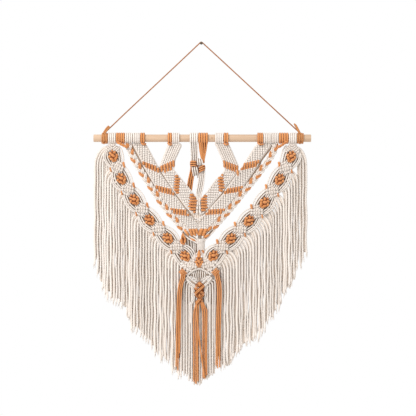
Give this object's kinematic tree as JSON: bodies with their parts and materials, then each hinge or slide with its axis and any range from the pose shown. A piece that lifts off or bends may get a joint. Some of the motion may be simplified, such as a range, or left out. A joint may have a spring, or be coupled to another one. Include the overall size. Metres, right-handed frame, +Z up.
{
  "type": "macrame wall hanging on a wooden rod with a wall nail",
  "caption": "Knotted cotton wall hanging in natural and rust orange on a wooden rod: leaf panels, a V border of berry knots and a long fringe, hung by a cord from a nail.",
  "frame": {"origin": "middle of the nail's back end, where the nail meets the wall", "axes": "+Z up, +X to the viewer's right, +Y into the wall; the hanging faces -Y"},
  "size_m": [0.435, 0.0248, 0.6893],
  "materials": {
    "natural_cotton": "soft matt twisted cotton cord",
    "rust_orange_cotton": "soft matt twisted cotton cord",
    "brown_cord": "thin tightly twisted cord",
    "pale_wood": "smooth sanded, fine grain",
    "dark_nail": "dark, slightly worn"
  },
  "bodies": {
    "root": {"berry_left_1": "rust_orange_cotton", "berry_left_2": "rust_orange_cotton", "berry_left_3": "rust_orange_cotton", "berry_left_4": "rust_orange_cotton", "berry_left_5": "rust_orange_cotton", "berry_left_6": "rust_orange_cotton", "berry_middle": "rust_orange_cotton", "berry_right_1": "rust_orange_cotton", "berry_right_2": "rust_orange_cotton", "berry_right_3": "rust_orange_cotton", "berry_right_4": "rust_orange_cotton", "berry_right_5": "rust_orange_cotton", "berry_right_6": "rust_orange_cotton", "border_left": "natural_cotton", "border_right": "natural_cotton", "fringe_left": "natural_cotton", "fringe_middle": "natural_cotton", "fringe_right": "natural_cotton", "hanger_knot_left": "brown_cord", "hanger_knot_right": "brown_cord", "hanging_cord": "brown_cord", "lattice": "rust_orange_cotton", "leaf_inner_left": "natural_cotton", "leaf_inner_left_bar_1": "rust_orange_cotton", "leaf_inner_left_bar_2": "rust_orange_cotton", "leaf_inner_left_bar_3": "rust_orange_cotton", "leaf_inner_right": "natural_cotton", "leaf_inner_right_bar_1": "rust_orange_cotton", "leaf_inner_right_bar_2": "rust_orange_cotton", "leaf_inner_right_bar_3": "rust_orange_cotton", "leaf_outer_left": "natural_cotton", "leaf_outer_left_bar_1": "rust_orange_cotton", "leaf_outer_left_bar_2": "rust_orange_cotton", "leaf_outer_left_bar_3": "rust_orange_cotton", "leaf_outer_left_bar_4": "rust_orange_cotton", "leaf_outer_right": "natural_cotton", "leaf_outer_right_bar_1": "rust_orange_cotton", "leaf_outer_right_bar_2": "rust_orange_cotton", "leaf_outer_right_bar_3": "rust_orange_cotton", "leaf_outer_right_bar_4": "rust_orange_cotton", "lens": "natural_cotton", "middle_knot_orange": "rust_orange_cotton", "middle_knot_white": "natural_cotton", "neck": "natural_cotton", "orange_loops_1": "rust_orange_cotton", "orange_loops_2": "rust_orange_cotton", "orange_loops_3": "rust_orange_cotton", "orange_loops_4": "rust_orange_cotton", "plait_left": "natural_cotton", "plait_right": "natural_cotton", "rod": "pale_wood", "rope_left": "rust_orange_cotton", "rope_right": "rust_orange_cotton", "tassel_left": "rust_orange_cotton", "tassel_right": "rust_orange_cotton", "wall_nail": "dark_nail"}
  },
  "joints": []
}
